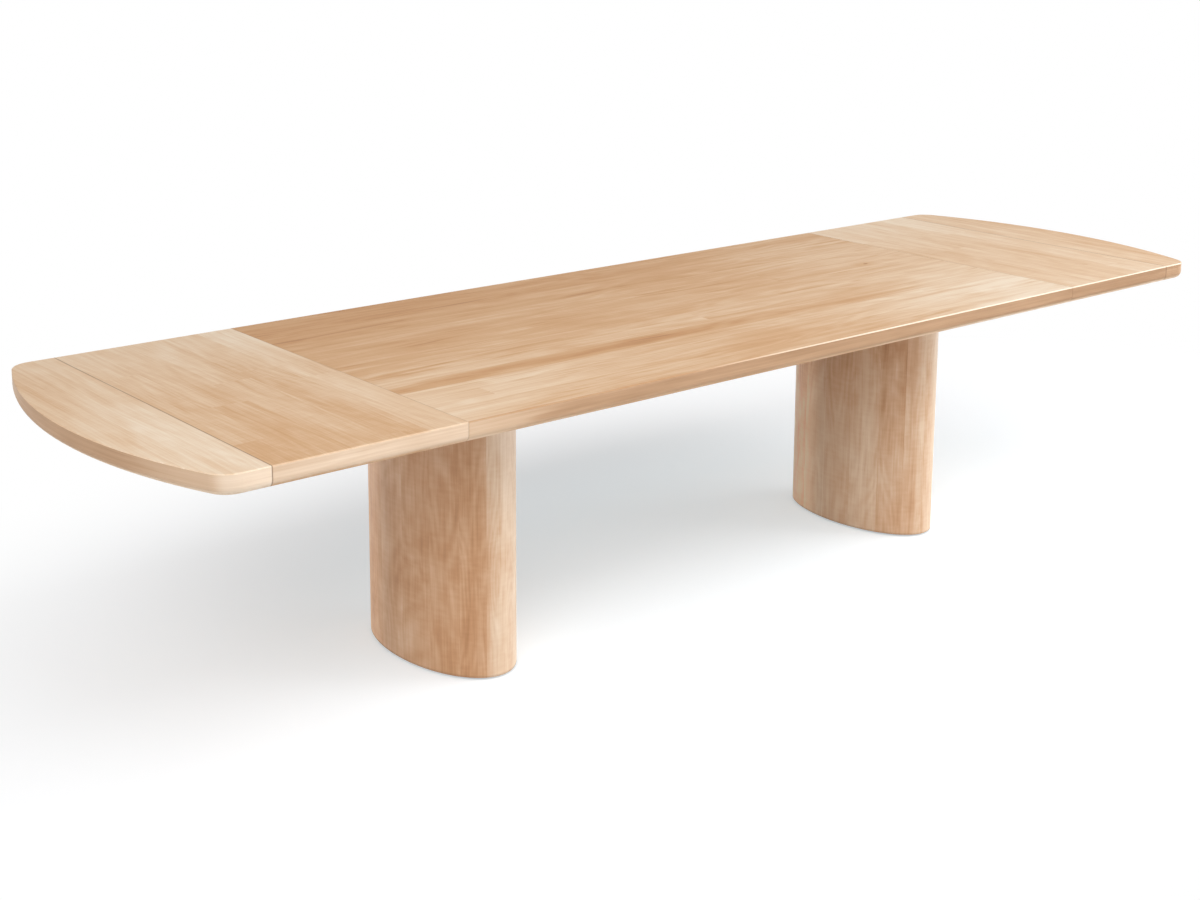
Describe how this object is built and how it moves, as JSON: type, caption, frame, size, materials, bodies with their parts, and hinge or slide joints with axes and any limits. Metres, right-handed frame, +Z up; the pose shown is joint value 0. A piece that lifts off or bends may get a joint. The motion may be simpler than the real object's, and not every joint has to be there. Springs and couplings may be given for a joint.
{
  "type": "extending dining table",
  "caption": "Long extending dining table in pale solid wood with gently curved ends, leaves in place, on two oval pedestals.",
  "frame": {"origin": "on the floor, under the middle of the table", "axes": "+X along the top towards the right end, +Y across the top towards the far side, +Z up"},
  "size_m": [3.497, 1.051, 0.76],
  "materials": {
    "top_wood": "satin pale hardwood, grain along the top",
    "leaf_wood": "satin pale hardwood, grain across the top",
    "end_wood": "satin pale hardwood, grain across the top",
    "pedestal_wood": "satin hardwood, upright grain",
    "rail_wood": "waxed beech",
    "board_wood": "bare birch plywood",
    "steel": "zinc plated",
    "glide_nylon": "matt black nylon"
  },
  "bodies": {
    "base": {"main_top": "top_wood", "centre_batten": "rail_wood", "left_pedestal_shell": "pedestal_wood", "left_pedestal_bottom_board": "board_wood", "left_mounting_board": "board_wood", "left_mounting_bolts": "steel", "left_floor_glides": "glide_nylon", "left_stop_blocks": "rail_wood", "left_latch_plates": "steel", "right_pedestal_shell": "pedestal_wood", "right_pedestal_bottom_board": "board_wood", "right_mounting_board": "board_wood", "right_mounting_bolts": "steel", "right_floor_glides": "glide_nylon", "right_stop_blocks": "rail_wood", "right_latch_plates": "steel", "left_front_inner_guide": "rail_wood", "left_front_outer_guide": "rail_wood", "left_back_inner_guide": "rail_wood", "left_back_outer_guide": "rail_wood", "right_front_inner_guide": "rail_wood", "right_front_outer_guide": "rail_wood", "right_back_inner_guide": "rail_wood", "right_back_outer_guide": "rail_wood"},
    "left_end": {"left_end_piece": "end_wood", "left_crossbar": "rail_wood", "left_locating_keys": "rail_wood", "left_front_rail": "rail_wood", "left_back_rail": "rail_wood"},
    "left_leaf": {"left_leaf": "leaf_wood", "left_latch_studs": "steel"},
    "right_end": {"right_end_piece": "end_wood", "right_crossbar": "rail_wood", "right_locating_keys": "rail_wood", "right_front_rail": "rail_wood", "right_back_rail": "rail_wood"},
    "right_leaf": {"right_leaf": "leaf_wood", "right_latch_studs": "steel"},
    "left_front_latch": {"left_front_latch_lever": "steel"},
    "left_back_latch": {"left_back_latch_lever": "steel"},
    "right_front_latch": {"right_front_latch_lever": "steel"},
    "right_back_latch": {"right_back_latch_lever": "steel"}
  },
  "joints": [
    {"name": "left_end_slide", "type": "slide", "parent": "base", "child": "left_end", "axis": [-1, 0, 0], "range_m": [0, 0.06]},
    {"name": "left_leaf_lift", "type": "slide", "parent": "left_end", "child": "left_leaf", "axis": [0, 0, 1], "range_m": [0, 0.2]},
    {"name": "right_end_slide", "type": "slide", "parent": "base", "child": "right_end", "axis": [1, 0, 0], "range_m": [0, 0.06]},
    {"name": "right_leaf_lift", "type": "slide", "parent": "right_end", "child": "right_leaf", "axis": [0, 0, 1], "range_m": [0, 0.2]},
    {"name": "left_front_latch_turn", "type": "hinge", "parent": "base", "child": "left_front_latch", "pos_m": [-1.0335, -0.182, 0.7287], "axis": [0, 0, 1], "range_deg": [0, 90]},
    {"name": "left_back_latch_turn", "type": "hinge", "parent": "base", "child": "left_back_latch", "pos_m": [-1.0335, 0.182, 0.7287], "axis": [0, 0, -1], "range_deg": [0, 90]},
    {"name": "right_front_latch_turn", "type": "hinge", "parent": "base", "child": "right_front_latch", "pos_m": [1.0335, -0.182, 0.7287], "axis": [0, 0, -1], "range_deg": [0, 90]},
    {"name": "right_back_latch_turn", "type": "hinge", "parent": "base", "child": "right_back_latch", "pos_m": [1.0335, 0.182, 0.7287], "axis": [0, 0, 1], "range_deg": [0, 90]}
  ]
}
